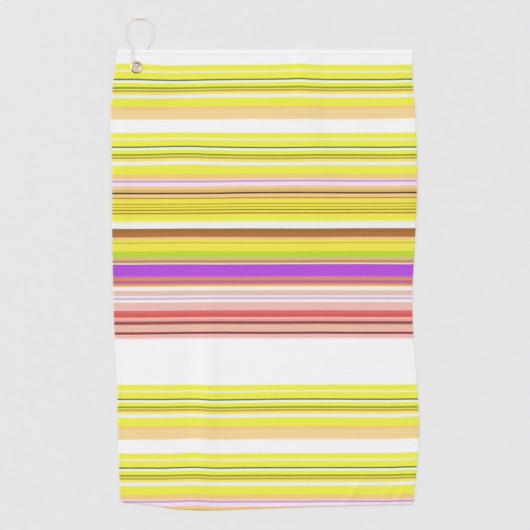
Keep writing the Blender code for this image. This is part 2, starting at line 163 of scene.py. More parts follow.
# Share of the width at a ripple's upper and lower end, share of the length where it starts and
# stops, its height and its half width in millimetres.
ripples = (
    (0.62, 0.70, -0.10, 0.30, 3.5, 20), (0.32, 0.28, 0.50, 1.00, 4.5, 25),
    (0.95, 0.97, 0.10, 0.42, 3.0, 24), (0.02, 0.03, 0.16, 0.50, 3.0, 22),
)
# Small creases in the same terms: one beside the top hem, three in the lower right corner.
creases = (
    (0.578, 0.66, -0.10, 0.20, 3.0, 13), (0.83, 0.74, 0.925, 1.03, 1.3, 9),
    (0.975, 0.925, 0.935, 1.03, 1.1, 8), (0.92, 0.88, 0.95, 1.03, 1.0, 7),
)
padFall = 55 * mm       # the corner that the grommet holds up comes down over this distance
padMargin = 3 * mm      # level cloth round the flange


def readCurve(rows, column, at):
    shares, values = rows[:, 0], rows[:, column]
    slopes = np.gradient(values, shares)
    low = np.clip(np.searchsorted(shares, at) - 1, 0, len(rows) - 2)
    span = shares[low + 1] - shares[low]
    t = (at - shares[low]) / span
    return ((2 * t**3 - 3 * t**2 + 1) * values[low] + (t**3 - 2 * t**2 + t) * span * slopes[low]
            + (3 * t**2 - 2 * t**3) * values[low + 1] + (t**3 - t**2) * span * slopes[low + 1])


def smoothStep(share):
    share = np.clip(share, 0.0, 1.0)
    return share * share * (3 - 2 * share)


def clothPlace(across, down):
    share = down / cloth["length"]
    drift = readCurve(edgeShape, 1, share) * mm
    narrowing = readCurve(edgeShape, 2, share) * mm
    shortening = readCurve(lengthShape, 1, across / cloth["width"]) * mm
    x = drift + (cloth["width"] - narrowing) * (across / cloth["width"] - 0.5)
    y = -down * (cloth["length"] - shortening) / cloth["length"]
    return x, y


def grommetMiddle():
    x, y = clothPlace(np.array(grommet["fromLeft"]), np.array(grommet["fromTop"]))
    return float(x), float(y)


def padLift(x, y):
    middleX, middleY = grommetMiddle()
    reach = flangeRadius + padMargin
    right = middleX + chain["loopOffset"] + chain["neckHalfWidth"] + ballRadius
    beside = np.maximum(np.maximum(middleX - reach - x, x - right), 0.0)
    below = np.maximum(middleY - reach - y, 0.0)
    return clothBottom * (1 - smoothStep(np.hypot(beside, below) / padFall))


def blendWeights(at, stops):
    # how much each stop counts at each place, falling off smoothly between neighbours
    stops = np.array(stops, float)
    spread = np.gradient(stops) * blendSpread
    weights = np.exp(-((np.asarray(at)[:, None] - stops) / spread) ** 2) / spread
    return weights / weights.sum(1, keepdims=True)


def rippleLift(across, down):
    lift = np.zeros_like(across)
    for upper, lower, start, stop, height, halfWidth in ripples + creases:
        along = (down / cloth["length"] - start) / (stop - start)
        middle = (upper + (lower - upper) * along) * cloth["width"]
        off = np.abs(across - middle) / (halfWidth * mm)
        inside = (along > 0) & (along < 1) & (off < 1)
        shape = np.sin(math.pi * along) * (1 + np.cos(math.pi * off)) / 2
        lift += np.where(inside, height * mm * shape, 0.0)
    return lift


def clothUnderside(across, down):
    x, y = clothPlace(across, down)
    pad = padLift(x, y)
    return x, y, np.maximum(pad, rippleLift(across, down) * (1 - pad / clothBottom))


def printPlace(across, down, y):
    # millimetres down the print, which lies square to the towel and sags a little
    rowWeights = blendWeights(down.ravel() / mm, sagRows)
    columnWeights = blendWeights(across.ravel() / cloth["width"], sagColumns)
    sag = ((rowWeights @ sagTable) * columnWeights).sum(1).reshape(across.shape)
    return -y / mm - sag + printStart


# The CAD keeps its box centred over the origin, so everything here moves by the same step.
eyeletLow, eyeletHigh = (Vector(corner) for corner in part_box("grommet_eyelet"))
middleX, middleY = grommetMiddle()
eyeletMiddle = (eyeletLow + eyeletHigh) / 2
shift = Vector((eyeletMiddle.x - middleX, eyeletMiddle.y - middleY, 0))
print("sizes ready, moved by", [round(v / mm, 2) for v in shift])


class Wire:
    # one output socket; sums written on it add Math nodes
    def __init__(self, finish, socket):
        self.finish, self.socket = finish, socket

    def maths(self, operation, *values):
        return self.finish.node("ShaderNodeMath", {"operation": operation}, dict(enumerate(values)))

    def __add__(self, other):
        return self.maths("ADD", self, other)

    def __sub__(self, other):
        return self.maths("SUBTRACT", self, other)

    def __rsub__(self, other):
        return self.maths("SUBTRACT", other, self)

    def __mul__(self, other):
        return self.maths("MULTIPLY", self, other)

    def __gt__(self, other):
        return self.maths("GREATER_THAN", self, other)

    def __lt__(self, other):
        return self.maths("LESS_THAN", self, other)

    __radd__ = __add__
    __rmul__ = __mul__

    def sine(self):
        return self.maths("SINE", self)

    def size(self):
        return self.maths("ABSOLUTE", self)

    def dot(self, vector):
        return self.finish.node(
            "ShaderNodeVectorMath", {"operation": "DOT_PRODUCT"}, {0: self, 1: vector}, "Value")

    def steps(self, low, high, newLow=0.0, newHigh=1.0):
        # the value read between low and high, kept inside the new limits
        return self.finish.node("ShaderNodeMapRange", {"clamp": True}, {
            0: self, 1: low, 2: high, 3: newLow, 4: newHigh})


class Shading:
    # a node tree being made
    def __init__(self, tree):
        self.tree = tree

    def node(self, kind, settings=None, inputs=None, output=0):
        made = self.tree.nodes.new(kind)
        for name, value in (settings or {}).items():
            if name == "stops":
                elements = made.color_ramp.elements
                while len(elements) > 1:
                    elements.remove(elements[-1])
                for index, (at, colour) in enumerate(value):
                    element = elements[0] if index == 0 else elements.new(at)
                    element.position = at
                    element.color = colour
            elif name == "steps":
                made.color_ramp.interpolation = value
            else:
                setattr(made, name, value)
        for socket, value in (inputs or {}).items():
            self.feed(made.inputs[socket], value)
        return Wire(self, made.outputs[output])

    def feed(self, socket, value):
        if isinstance(value, Wire):
            self.tree.links.new(value.socket, socket)
        else:
            socket.default_value = value

    def parts(self, vector):
        split = self.node("ShaderNodeSeparateXYZ", None, {0: vector}).socket.node
        return [Wire(self, socket) for socket in split.outputs]

    def mix(self, factor, low, high, blend="MIX"):
        return self.node("ShaderNodeMix", {"data_type": "RGBA", "blend_type": blend}, {
            0: factor, 6: low, 7: high}, output=2)

    def noise(self, place, scale, detail=2.0, roughness=0.5):
        return self.node("ShaderNodeTexNoise", None, {
            "Vector": place, "Scale": scale, "Detail": detail, "Roughness": roughness})

    def bump(self, height, distance, strength):
        return self.node("ShaderNodeBump", None, {
            "Strength": strength, "Distance": distance, "Height": height})


class Finish(Shading):
    # a material with one Principled shader
    def __init__(self, name, **shader):
        self.material = bpy.data.materials.new(name)
        self.material.use_nodes = True
        super().__init__(self.material.node_tree)
        self.shader = self.tree.nodes["Principled BSDF"]
        for socket, value in shader.items():
            self.shader.inputs[socket.replace("_", " ")].default_value = value

    def use(self, **links):
        for socket, value in links.items():
            self.feed(self.shader.inputs[socket.replace("_", " ")], value)
        return self.material


def ink(code):
    # a screen colour such as e8e657 as the shader's linear colour
    parts = [int(code[i:i + 2], 16) / 255 for i in (0, 2, 4)]
    return (*[p / 12.92 if p <= 0.04045 else ((p + 0.055) / 1.055) ** 2.4 for p in parts], 1.0)


inks = {
    "white": "f2f0f2", "chalk": "ebebe8", "cream": "efe6bb", "lemon": "e7e74c",
    "paleLemon": "f1f2be", "butter": "e9e04f", "straw": "eddf78", "lime": "bbd535",
    "paleLime": "eaf2d0", "slate": "73736e", "moss": "9aa31c", "ochre": "bdad34",
    "sand": "ecc985", "paleSand": "ecd197", "honey": "d9b775", "tan": "d3bd80",
    "blush": "ecced4", "lilac": "c5a0c4", "paleLilac": "eedbeb", "espresso": "5b3e27",
    "caramel": "bb8e36", "bronze": "b89c28", "darkBronze": "86740a", "khaki": "b7b01f",
    "chestnut": "a26e2c", "russet": "af723f", "camel": "bb9750", "clay": "c2896a",
    "violet": "b351d8", "mauve": "c878a6", "terracotta": "d68f60", "magenta": "c46490",
    "rust": "d1907a", "gold": "dab45f", "oat": "e2c0a5", "petal": "dabbc5",
    "mist": "cbb8c4", "shell": "f1e7e7", "rose": "e9b9b0", "pink": "f0b0aa",
    "coral": "dd6a71", "brick": "cf6057", "dustyRose": "e19f9c", "maroon": "92454b",
    "cedar": "ab6150", "peach": "e5b8a4", "wine": "8f3f4f",
}
# Stripes down the face as (ink, millimetres), from where each section starts.
stripeSections = {
    "lemonGroup": {"start": 17.8, "stripes": (
        ("paleLemon", 1.4), ("lemon", 6.6), ("cream", 3.1), ("lemon", 8.2), ("slate", 2.0),
        ("paleLime", 3.3), ("lemon", 5.0), ("moss", 2.4), ("straw", 1.6), ("ochre", 2.4),
        ("straw", 3.2), ("cream", 1.1), ("chalk", 3.7), ("lemon", 11.5), ("sand", 5.0),
        ("paleSand", 12.0), ("cream", 1.2), ("white", 16.9),
    )},
    "lilacGroup": {"start": 164.2, "stripes": (
        ("sand", 5.8), ("blush", 2.2), ("lilac", 2.5), ("paleLilac", 5.0), ("sand", 4.2),
        ("honey", 4.1), ("espresso", 2.3), ("sand", 4.6), ("caramel", 1.5), ("butter", 6.4),
        ("bronze", 1.4), ("butter", 2.5), ("khaki", 1.5), ("butter", 2.4),
        ("darkBronze", 1.5), ("butter", 2.6), ("caramel", 1.4), ("ochre", 1.2),
        ("lemon", 8.4), ("cream", 2.5), ("chalk", 8.0), ("white", 0.8),
    )},
    "brownGroup": {"start": 236.6, "stripes": (
        ("chestnut", 5.2), ("russet", 5.6), ("camel", 1.2), ("sand", 3.4), ("butter", 3.2),
        ("ochre", 1.2), ("butter", 10.4), ("lime", 7.4), ("tan", 4.8), ("clay", 2.8),
        ("tan", 1.2), ("cream", 1.4), ("violet", 15.4), ("mauve", 1.9),
        ("terracotta", 4.0), ("magenta", 3.7), ("rust", 1.5), ("gold", 2.7),
    )},
    "pinkGroup": {"start": 313.6, "stripes": (
        ("shell", 5.4), ("oat", 4.2), ("petal", 2.2), ("paleLilac", 3.0), ("mist", 2.4),
        ("shell", 4.0), ("rose", 10.6), ("coral", 4.2), ("brick", 4.8), ("pink", 3.0),
        ("dustyRose", 2.7), ("maroon", 2.1), ("cedar", 2.1), ("peach", 8.0), ("pink", 1.7),
        ("wine", 3.0), ("rose", 5.4), ("shell", 2.6), ("white", 3.0),
    )},
}
printRepeat = {"group": 90.7, "all": 426.1, "secondGroup": 100.0, "again": 435.0}


def sectionRamp(finish, section, down):
    # one section of the print as a ramp with hard stripe edges
    total = sum(width for _, width in section["stripes"])
    stops, at = [], 0.0
    for name, width in section["stripes"]:
        stops.append((at / total, ink(inks[name])))
        at += width
    place = down.steps(section["start"], section["start"] + total)
    return finish.node("ShaderNodeValToRGB", {"steps": "CONSTANT", "stops": stops}, {"Fac": place})


def printedColour(finish, down):
    # the repeats fold the lower part of the towel back onto its upper part
    place = down - (down > printRepeat["again"]) * printRepeat["all"]
    first = place - (place > printRepeat["secondGroup"]) * printRepeat["group"]
    top, *others = stripeSections.values()
    colour = sectionRamp(finish, top, first)
    colour = finish.mix(first < top["start"], colour, ink(inks["white"]))
    for section in others:
        ramp = sectionRamp(finish, section, place)
        colour = finish.mix(place > section["start"], colour, ramp)
    return colour


clothFinish = {
    "thread": 0.61,         # mm from one thread to the next
    "sway": 0.6,            # how far a thread bends over and under its neighbours, in radians
    "threadDepth": 0.10 * mm,
    "bleed": 0.35,          # mm that a stripe's edge wanders
    "fibreScale": 1.9,      # the noises, each in spots to the millimetre
    "mottleScale": 0.35,
    "broadScale": 0.018,
    "mottle": 0.08,         # how unevenly the cloth takes the ink
    "pitPaintedShade": 0.035,      # painted shade: how much darker a cell's floor is coloured
    "fibreShade": 0.05,
    "broadShade": 0.03,
    "unprinted": "f1efed",
    "showThrough": 0.10,
    "roughness": 0.86,
    "fibreRoughness": 0.12,
}


def printedWaffle():
    look = clothFinish
    finish = Finish("printed_waffle", Roughness=0.9, Sheen_Weight=0.04, Specular_IOR_Level=0.2)
    flat = finish.node("ShaderNodeAttribute", {"attribute_name": "flatPlace"}, output=1)
    printed, face = finish.parts(flat)[1:]
    plan = finish.node("ShaderNodeAttribute", {"attribute_name": "weavePlace"}, output=1)
    across, down, _ = finish.parts(plan)

    cellAcross = cloth["width"] / mm / cloth["cellsAcross"]
    cellDown = cloth["length"] / mm / cloth["cellsDown"]
    ridgeAcross = (across * (math.pi / cellAcross)).sine().size()
    ridgeDown = (down * (math.pi / cellDown)).sine().size()
    pit = ridgeAcross * ridgeDown

    fibre = finish.noise(plan, look["fibreScale"], 3.0, 0.6)
    fine = finish.noise(plan, look["mottleScale"], 2.0)
    broad = finish.noise(plan, look["broadScale"], 2.0)

    wandering = printed + (fibre - 0.5) * (2 * look["bleed"])
    colour = printedColour(finish, wandering)
    dyed = finish.mix((fine - 0.5) * look["mottle"] + 0.01, colour, ink(inks["white"]))
    back = finish.mix(look["showThrough"], ink(look["unprinted"]), colour)
    colour = finish.mix(face, back, dyed)
    # painted shade on the floors of the cells, where less light reaches, with tone that differs at
    # random from the fibre and broad noises
    paintedShadeAndTone = 1 - pit * look["pitPaintedShade"] + (fibre - 0.5) * look["fibreShade"]
    paintedShadeAndTone = paintedShadeAndTone + (broad - 0.5) * look["broadShade"]
    paintedShadeAndToneColour = finish.node("ShaderNodeCombineColor", None, {0: paintedShadeAndTone, 1: paintedShadeAndTone, 2: paintedShadeAndTone})
    colour = finish.mix(1.0, colour, paintedShadeAndToneColour, "MULTIPLY")

    turns = 2 * math.pi / look["thread"]
    warp = (across * turns + (down * (turns / 2)).sine() * look["sway"]).sine()
    weft = (down * turns + (across * (turns / 2)).sine() * look["sway"]).sine()
    threads = warp * (1 - pit) + weft * pit
    bump = finish.bump(threads * 0.5 + fibre, look["threadDepth"], 0.7)
    roughness = look["roughness"] + fibre * look["fibreRoughness"]
    return finish.use(Base_Color=colour, Roughness=roughness, Normal=bump)


threadFinish = {
    "shaded": "e9e7e6",
    "bright": "f7f6f5",
    "fuzz": 2600.0,
    "twist": 900.0,
    "depth": 0.05 * mm,
}


def hemThread():
    # white thread, sewn before the face was printed, so its upper side carries the print
    finish = Finish("hem_thread", Roughness=0.7, Sheen_Weight=0.1)
    flat = finish.node("ShaderNodeAttribute", {"attribute_name": "flatPlace"}, output=1)
    printed, face = finish.parts(flat)[1:]
    place = finish.node("ShaderNodeTexCoord", None, None, output=3)
    look = threadFinish
    fuzz = finish.noise(place, look["fuzz"], 3.0)
    twist = finish.node("ShaderNodeTexWave", {"bands_direction": "DIAGONAL"}, {
        "Vector": place, "Scale": look["twist"], "Distortion": 1.5})
    plain = finish.mix(fuzz, ink(look["shaded"]), ink(look["bright"]))
    colour = finish.mix(face, plain, printedColour(finish, printed))
    bump = finish.bump(twist + fuzz * 0.5, look["depth"], 0.8)
    return finish.use(Base_Color=colour, Normal=bump)


brassLooks = {
    # name: bright and dull brass, roughness from and to, size of the handling marks
    "grommet_brass": ("e3c899", "b08046", 0.10, 0.26, 420.0),
    "washer_brass": ("f0d5a8", "b98c55", 0.20, 0.40, 420.0),
    "chain_brass": ("f8efe2", "d8c4a6", 0.12, 0.28, 900.0),
    "pin_brass": ("ece0cc", "c2a985", 0.22, 0.36, 900.0),
    "clasp_brass": ("fff2e8", "e6cab2", 0.34, 0.48, 700.0),
}
handling = {
    "cloudScale": 0.6,          # dull clouds and fine scuffs, against the size of the marks
    "scuffScale": 6,
    "tarnishBand": (0.42, 0.75),
    "roughBand": (0.35, 0.7),
    "tarnish": 0.45,            # how far the dull brass covers the bright
    "scuffRoughness": 0.05,
    "scuffDepth": 0.012 * mm,
}


def brass(name):
    bright, dull, smooth, rough, marks = brassLooks[name]
    finish = Finish(name, Metallic=1.0)
    place = finish.node("ShaderNodeTexCoord", None, None, output=3)
    cloudy = finish.noise(place, marks * handling["cloudScale"], 4.0, 0.6)
    scuffs = finish.noise(place, marks * handling["scuffScale"], 2.0, 0.7)
    tarnish = cloudy.steps(*handling["tarnishBand"])
    colour = finish.mix(tarnish * handling["tarnish"], ink(bright), ink(dull))
    roughness = cloudy.steps(*handling["roughBand"], smooth, rough)
    roughness = roughness + scuffs * handling["scuffRoughness"]
    bump = finish.bump(scuffs, handling["scuffDepth"], 0.5)
    return finish.use(Base_Color=colour, Roughness=roughness, Normal=bump)


floorFinish = {
    "glow": 0.60,       # the floor is a lit table, which keeps its shadows faint
    "tint": (0.456, 0.456, 0.456, 1.0),
    "greys": ("dededf", "e0e0e0"),
    "grain": 60.0,
}


def studioFloor():
    look = floorFinish
    finish = Finish("studio_floor", Roughness=0.95, Specular_IOR_Level=0.1)
    place = finish.node("ShaderNodeTexCoord", None, None, output=3)
    glow = finish.mix(finish.noise(place, look["grain"], 2.0), *map(ink, look["greys"]))
    finish.feed(finish.shader.inputs["Emission Strength"], look["glow"])
    colour = finish.mix(1.0, glow, look["tint"], "MULTIPLY")
    return finish.use(Base_Color=colour, Emission_Color=glow)


finishes = {
    "waffle": printedWaffle(),
    "thread": hemThread(),
    "floor": studioFloor(),
    **{name: brass(name) for name in brassLooks},
}
print("finishes made:", len(finishes))


def addObject(name, data):
    made = bpy.data.objects.new(name, data)
    bpy.context.scene.collection.objects.link(made)
    return made


def addPiece(name, mesh, finish, body, replaces=()):
    piece = addObject(name, mesh)
    mesh.materials.clear()
    mesh.materials.append(finishes[finish])
    for face in mesh.polygons:
        face.use_smooth = True
    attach(piece, body)
    if replaces:
        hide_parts(*replaces)
    return piece


def faceOut(mesh):
    shape = bmesh.new()
    shape.from_mesh(mesh)
    bmesh.ops.recalc_face_normals(shape, faces=shape.faces)
    shape.to_mesh(mesh)
    shape.free()
    return mesh


def turnedMesh(name, profile, sides, closed):
    # a profile of (radius, height) pairs turned about Z; an open one starts and ends on the axis
    verts, rings = [], []
    for radius, height in profile:
        if radius < 1e-9:
            rings.append([len(verts)])
            verts.append((0.0, 0.0, height))
            continue
        rings.append(list(range(len(verts), len(verts) + sides)))
        for side in range(sides):
            angle = math.tau * side / sides
            verts.append((radius * math.cos(angle), radius * math.sin(angle), height))
    faces = []
    pairs = list(zip(rings, rings[1:]))
    if closed:
        pairs.append((rings[-1], rings[0]))
    for low, high in pairs:
        for side in range(sides):
            after = (side + 1) % sides
            if len(low) == 1:
                faces.append((low[0], high[after], high[side]))
            elif len(high) == 1:
                faces.append((low[side], low[after], high[0]))
            else:
                faces.append((low[side], low[after], high[after], high[side]))
    mesh = bpy.data.meshes.new(name)
    mesh.from_pydata(verts, [], faces)
    return faceOut(mesh)


def placeMesh(mesh, place, direction=None):
    turn = Matrix.Identity(4)
    if direction is not None:
        turn = Vector(direction).to_track_quat("Z", "Y").to_matrix().to_4x4()
    mesh.transform(Matrix.Translation(Vector(place) + shift) @ turn)
    return mesh


def bake(piece):
    # keeps the modifiers' result as the piece's own mesh
    graph = bpy.context.evaluated_depsgraph_get()
    result = bpy.data.meshes.new_from_object(piece.evaluated_get(graph))
    piece.modifiers.clear()
    piece.data = result
    return piece


relief = {
    "ridgeSag": 0.05 * mm,      # where two ridges cross
    "uneven": 0.16,             # how much the cells differ in depth
    "jitter": 0.16 * mm,        # how far the threads wander
    "slowWaves": ((95, 31), (-47, 120)),    # of that wandering: across and down, radians a metre
    "quickWaves": (260, 210),
    "hemPuff": 0.19 * mm,
    "grooveDepth": 0.18 * mm,
    "grooveHalf": 1.0 * mm,
    "edgeRound": 1.1 * mm,
    "hemBlend": 2.0 * mm,       # beside the hem the cells reach their full depth over this
    "pressReach": 3.5 * mm,     # the flange flattens the cells this far round it
    "grommetPress": 0.30 * mm,  # how high the cloth puffs up beside the flange
    "puffFrom": 1.5 * mm,
    "puffHalf": 1.6 * mm,
    "puckers": 9,
    "puckerShare": 0.35,
}
# lines of the grid from the towel's edge across its hem
hemLines = [0.0, 0.35 * mm, 1.1 * mm, 2.3 * mm, 3.6 * mm, 4.5 * mm, 5.0 * mm, 5.6 * mm]


def clothLines(total, cells):
    # hem lines at both ends, then one line on each ridge and one down each cell's middle
    pitch = total / cells
    inner = [pitch * i / 2 for i in range(1, 2 * cells)]
    clear = hemLines[-1] + 0.3 * pitch
    kept = [at for at in inner if clear < at < total - clear]
    return np.array([*hemLines, *kept, *[total - at for at in reversed(hemLines)]])


def pitDepth(across, down, unevenness):
    # 0 on the ridges, 1 on the floor of a cell
    cellU = across * cloth["cellsAcross"] / cloth["width"]
    cellV = down * cloth["cellsDown"] / cloth["length"]
    pit = np.abs(np.sin(math.pi * cellU)) * np.abs(np.sin(math.pi * cellV))
    column = np.clip(cellU.astype(int), 0, cloth["cellsAcross"] - 1)
    row = np.clip(cellV.astype(int), 0, cloth["cellsDown"] - 1)
    return pit * (1 + relief["uneven"] * unevenness[row, column])


def keepVectors(mesh, name, values):
    # one vector for each point, which the finishes read
    mesh.attributes.new(name, "FLOAT_VECTOR", "POINT").data.foreach_set("vector", np.ravel(values))


def makeTowel():
    draws = np.random.RandomState(7)
    width, length = cloth["width"], cloth["length"]
    lines = clothLines(width, cloth["cellsAcross"])
    rows = clothLines(length, cloth["cellsDown"])
    across, down = np.meshgrid(lines, rows)
    x, y, under = clothUnderside(across, down)
    fromEdge = np.minimum(np.minimum(across, width - across), np.minimum(down, length - down))
    inside = smoothStep((fromEdge - cloth["hem"]) / relief["hemBlend"])

    # round the lower corners a little
    side = np.minimum(across, width - across)
    bottom = length - down
    size = cloth["cornerRounding"]
    du, dv = np.maximum(size - side, 0), np.maximum(size - bottom, 0)
    reachIn = np.maximum(np.hypot(du, dv) - size, 0)
    pull = np.where((du > 0) & (dv > 0), reachIn / np.maximum(np.hypot(du, dv), 1e-9), 0)
    x += np.where(across < width / 2, 1, -1) * du * pull
    y += dv * pull

    # threads wander a little from a straight grid
    wander = relief["jitter"] * inside
    for axis, phases in ((0, draws.rand(4)), (1, draws.rand(4))):
        slow = sum(np.sin(across * u + down * v + 7 * phase)
                   for (u, v), phase in zip(relief["slowWaves"], phases))
        u, v = relief["quickWaves"]
        quick = np.sin(across * u + 9 * phases[2]) * np.sin(down * v + 9 * phases[3])
        sway = (slow + quick) / 2
        if axis == 0:
            x += sway * wander
        else:
            y += sway * wander

    middle = np.array(grommetMiddle())
    fromGrommet = np.hypot(x - middle[0], y - middle[1])
    pressed = 1 - smoothStep((fromGrommet - flangeRadius) / relief["pressReach"])
    puff = np.exp(-((fromGrommet - flangeRadius - relief["puffFrom"]) / relief["puffHalf"]) ** 2)
    angle = np.arctan2(y - middle[1], x - middle[0])
    pucker = 1 + relief["puckerShare"] * np.sin(angle * relief["puckers"])

    unevenTop, unevenBack = draws.uniform(-1, 1, (2, cloth["cellsDown"], cloth["cellsAcross"]))
    crossing = relief["ridgeSag"] * np.abs(
        np.cos(math.pi * across * cloth["cellsAcross"] / width)
        * np.cos(math.pi * down * cloth["cellsDown"] / length))
    depth = cloth["cellDepth"] * inside * (1 - pressed)
    groove = np.exp(-((fromEdge - cloth["hem"]) / relief["grooveHalf"]) ** 2)
    groove = groove * relief["grooveDepth"]
    hemShape = np.sin(np.clip(fromEdge / cloth["hem"], 0, 1) * math.pi) * relief["hemPuff"]
    top = under + cloth["thickness"] - pitDepth(across, down, unevenTop) * depth - crossing * inside
    top += hemShape - groove + puff * pucker * relief["grommetPress"] * inside
    low = under + pitDepth(across, down, unevenBack) * depth + groove * 0.5 + crossing * inside

    # the folded edge is round: both faces meet at mid height
    rounding = np.clip(fromEdge / relief["edgeRound"], 0, 1)
    curve = np.sqrt(1 - (1 - rounding) ** 2)
    centre = (top + low) / 2
    top = centre + (top - centre) * curve
    low = centre + (low - centre) * curve

    count = across.size
    edge = np.zeros(across.shape, bool)
    edge[0, :] = edge[-1, :] = edge[:, 0] = edge[:, -1] = True
    topIndex = np.arange(count).reshape(across.shape)
    lowIndex = topIndex.copy()
    lowIndex[~edge] = count + np.arange((~edge).sum())
    places = np.concatenate([np.stack([x, y, top], -1).reshape(-1, 3),
                             np.stack([x, y, low], -1)[~edge]])
    places += np.array(shift)

    # on the back only the turned hem shows the print
    printed = printPlace(across, down, y)
    turned = fromEdge < hemLines[-1] + 0.1 * mm
    hemReach = cloth["hem"] * 1.2
    backPrint = np.where(turned & (down < hemReach), 2 * printed[:1] - printed, printed)
    backPrint = np.where(turned & (bottom < hemReach), 2 * printed[-1:] - printed, backPrint)
    faceFlat = np.stack([across / mm, printed, np.ones_like(across)], -1).reshape(-1, 3)
    backFlat = np.stack([across / mm, backPrint, turned * 1.0], -1)[~edge]
    weave = np.stack([across / mm, down / mm, np.zeros_like(across)], -1)
    weave = np.concatenate([weave.reshape(-1, 3), weave[~edge]])

    def sheetFaces(index, flip):
        corners = [index[:-1, :-1], index[1:, :-1], index[1:, 1:], index[:-1, 1:]]
        quads = np.stack(corners, -1).reshape(-1, 4)
        return quads[:, ::-1] if flip else quads

    # the barrel's hole: the cells inside it go, and the cut edge is drawn onto its circle
    holeRadius = barrelRadius + grommet["clothClearance"]
    opened = fromGrommet < holeRadius
    gone = opened[:-1, :-1] | opened[1:, :-1] | opened[1:, 1:] | opened[:-1, 1:]
    faces = [sheetFaces(topIndex, False)[~gone.ravel()], sheetFaces(lowIndex, True)[~gone.ravel()]]
    rim = set()
    for row, column in zip(*np.nonzero(gone)):
        loop = [(row, column), (row + 1, column), (row + 1, column + 1), (row, column + 1)]
        for a, b in zip(loop, loop[1:] + loop[:1]):
            rim.symmetric_difference_update([frozenset((a, b))])
    wall = [(topIndex[a], topIndex[b], lowIndex[b], lowIndex[a]) for a, b in map(sorted, rim)]
    for spot in {spot for pair in rim for spot in pair}:
        away = np.array([x[spot] - middle[0], y[spot] - middle[1]])
        onCircle = middle + away / np.hypot(*away) * holeRadius + np.array(shift)[:2]
        places[topIndex[spot], :2] = onCircle
        places[lowIndex[spot], :2] = onCircle
    faces = np.concatenate([*faces, np.array(wall)])
    used, faces = np.unique(faces, return_inverse=True)

    mesh = bpy.data.meshes.new("towel")
    mesh.from_pydata(places[used].tolist(), [], faces.reshape(-1, 4).tolist())
    keepVectors(mesh, "flatPlace", np.concatenate([faceFlat, backFlat])[used])
    keepVectors(mesh, "weavePlace", weave[used])
    faceOut(mesh)
    return addPiece("towel", mesh, "waffle", "towel", ["towel_panel"])


towel = makeTowel()
print("towel made:", len(towel.data.polygons), "faces")


stitch = {
    "length": 2.9 * mm,
    "space": 0.55 * mm,
    "radius": 0.21 * mm,
    "sides": 6,
    "dive": 0.42 * mm,      # how deep a stitch's ends go into the cloth
    "wobble": 0.08 * mm,
    "stand": 0.12 * mm,     # how far a stitch stands up out of the hem's groove
    "cornerGap": 1.2 * mm,  # the side runs stop this far from the top and bottom ones
}


def stitchRun(name, start, stop, rise):
    # stitches along a straight line of the flat cloth, from (across, down) to (across, down)
    run = np.array(stop) - np.array(start)
    total = float(np.hypot(*run))
    along = run / total
    count = int(total / (stitch["length"] + stitch["space"]))
    step = total / count
    sides = stitch["sides"]
    verts, faces, prints = [], [], []
    # seven rings a stitch: the ends dive into the cloth
    shares = np.array([0.0, 0.07, 0.2, 0.5, 0.8, 0.93, 1.0])
    dips = np.array([1.0, 0.35, 0.0, -0.12, 0.0, 0.35, 1.0]) * stitch["dive"]
    thick = np.array([0.55, 0.9, 1.0, 1.05, 1.0, 0.9, 0.55]) * stitch["radius"]
    for face in (1, -1):
        for index in range(count):
            wobble = random.uniform(-stitch["wobble"], stitch["wobble"])
            begin = step * index + stitch["space"] / 2 + wobble
            spots = begin + shares * (step - stitch["space"])
            flat = np.array(start)[None] + along[None] * spots[:, None]
            x, y, under = clothUnderside(flat[:, 0], flat[:, 1])
            if face > 0:
                z = under + cloth["thickness"] - rise - dips
            else:
                z = under + rise * 0.45 + stitch["radius"] * 0.6 + dips
            centres = np.stack([x, y, z], -1) + np.array(shift)
            ahead = centres[-1] - centres[0]
            sideways = np.array([-ahead[1], ahead[0], 0])
            sideways /= np.linalg.norm(sideways)
            first = len(verts)
            printed = printPlace(flat[:, 0], flat[:, 1], y)
            for centre, radius, at in zip(centres, thick, printed):
                for turn in range(sides):
                    angle = math.tau * turn / sides
                    verts.append(centre + sideways * radius * math.cos(angle)
                                 + np.array([0, 0, radius * math.sin(angle)]))
                    prints.append((0.0, at, 1.0 if face > 0 else 0.0))
            for ring in range(len(shares) - 1):
                for turn in range(sides):
                    a = first + ring * sides + turn
                    b = first + ring * sides + (turn + 1) % sides
                    faces.append((a, a + sides, b + sides, b))
            faces.append(tuple(range(first, first + sides)))
            last = first + (len(shares) - 1) * sides
            faces.append(tuple(reversed(range(last, last + sides))))
    mesh = bpy.data.meshes.new(name)
    mesh.from_pydata([tuple(v) for v in verts], [], faces)
    keepVectors(mesh, "flatPlace", prints)
    return faceOut(mesh)


def makeStitches():
    left, right = cloth["hem"], cloth["width"] - cloth["hem"]
    top, bottom = cloth["hem"], cloth["length"] - cloth["hem"]
    cornerGap = stitch["cornerGap"]
    runs = {
        "top": ((left, top), (right, top)),
        "bottom": ((left, bottom), (right, bottom)),
        "left": ((left, top + cornerGap), (left, bottom - cornerGap)),
        "right": ((right, top + cornerGap), (right, bottom - cornerGap)),
    }
    made = []
    for side, (start, stop) in runs.items():
        name = f"hem_stitches_{side}"
        mesh = stitchRun(name, start, stop, relief["grooveDepth"] - stitch["stand"])
        made.append(addPiece(name, mesh, "thread", "towel", [f"hem_thread_{side}"]))
    return made


stitches = makeStitches()
print("stitches made")


def arc(centre, radii, start, stop, steps):
    # points of an ellipse's arc in the (radius, height) plane, angles in degrees
    angles = np.radians(np.linspace(start, stop, steps))
    return [(centre[0] + radii[0] * math.cos(a), centre[1] + radii[1] * math.sin(a))
            for a in angles]


